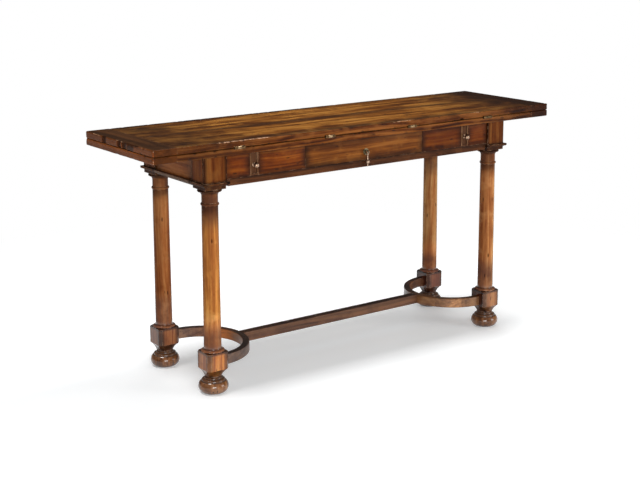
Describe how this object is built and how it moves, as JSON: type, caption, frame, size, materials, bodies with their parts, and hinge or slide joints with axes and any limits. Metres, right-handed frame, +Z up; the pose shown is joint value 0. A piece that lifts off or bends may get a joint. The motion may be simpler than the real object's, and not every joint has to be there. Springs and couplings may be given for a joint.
{
  "type": "flip-top table",
  "caption": "Console table whose doubled top unfolds forward onto pull-out lopers; turned columns, bun feet, curved end stretchers and a frieze drawer.",
  "frame": {"origin": "On the floor, under the middle of the closed table's bounding box.", "axes": "+Z up, +X along the length of the top, +Y from the drawer front towards the back."},
  "size_m": [1.524, 0.4248, 0.762],
  "materials": {
    "top_walnut": "worn satin walnut stain",
    "apron_walnut": "worn satin red walnut stain",
    "turned_walnut": "worn satin walnut stain",
    "inner_maple": "plain planed secondary wood",
    "antique_brass": "aged, unlacquered",
    "dark_bronze": "dark patina",
    "screw_steel": "dull"
  },
  "bodies": {
    "frame": {"lower_leaf_front_board": "top_walnut", "lower_leaf_back_board": "top_walnut", "lower_leaf_left_end": "top_walnut", "lower_leaf_right_end": "top_walnut", "front_left_leg": "turned_walnut", "front_left_foot": "turned_walnut", "front_right_leg": "turned_walnut", "front_right_foot": "turned_walnut", "back_left_leg": "turned_walnut", "back_left_foot": "turned_walnut", "back_right_leg": "turned_walnut", "back_right_foot": "turned_walnut", "left_end_rail": "apron_walnut", "left_end_moulding": "apron_walnut", "left_outer_panel": "apron_walnut", "left_inner_panel": "apron_walnut", "left_loper_housing": "inner_maple", "left_drawer_runner": "inner_maple", "left_arc_stretcher": "turned_walnut", "right_end_rail": "apron_walnut", "right_end_moulding": "apron_walnut", "right_outer_panel": "apron_walnut", "right_inner_panel": "apron_walnut", "right_loper_housing": "inner_maple", "right_drawer_runner": "inner_maple", "right_arc_stretcher": "turned_walnut", "long_stretcher": "turned_walnut", "back_rail": "apron_walnut", "front_bottom_rail": "apron_walnut", "top_blocks": "inner_maple", "top_screws": "screw_steel", "hinge_lower_plates": "antique_brass", "hinge_pins": "antique_brass", "hinge_lower_screws": "antique_brass"},
    "flip_leaf": {"upper_leaf_front_board": "top_walnut", "upper_leaf_back_board": "top_walnut", "upper_leaf_left_end": "top_walnut", "upper_leaf_right_end": "top_walnut", "hinge_upper_plates": "antique_brass", "hinge_upper_screws": "antique_brass"},
    "drawer": {"drawer_front": "apron_walnut", "drawer_left_side": "inner_maple", "drawer_right_side": "inner_maple", "drawer_back": "inner_maple", "drawer_bottom": "inner_maple", "pull_plate": "dark_bronze", "pull_bolt": "dark_bronze", "pull_nut": "screw_steel"},
    "drop_pull": {"pull_drop": "antique_brass"},
    "left_loper": {"left_loper_bar": "inner_maple", "left_loper_face": "apron_walnut", "left_loper_knob": "antique_brass", "left_loper_stop_peg": "inner_maple"},
    "right_loper": {"right_loper_bar": "inner_maple", "right_loper_face": "apron_walnut", "right_loper_knob": "antique_brass", "right_loper_stop_peg": "inner_maple"}
  },
  "joints": [
    {"name": "leaf_flip", "type": "hinge", "parent": "frame", "child": "flip_leaf", "pos_m": [0, -0.2079, 0.741], "axis": [1, 0, 0], "range_deg": [0, 180]},
    {"name": "left_loper_slide", "type": "slide", "parent": "frame", "child": "left_loper", "axis": [0, -1, 0], "range_m": [0, 0.25]},
    {"name": "right_loper_slide", "type": "slide", "parent": "frame", "child": "right_loper", "axis": [0, -1, 0], "range_m": [0, 0.25]},
    {"name": "drawer_slide", "type": "slide", "parent": "frame", "child": "drawer", "axis": [0, -1, 0], "range_m": [0, 0.21]},
    {"name": "pull_swing", "type": "hinge", "parent": "drawer", "child": "drop_pull", "pos_m": [0, -0.187, 0.673], "axis": [-1, 0, 0], "range_deg": [0, 90]}
  ]
}
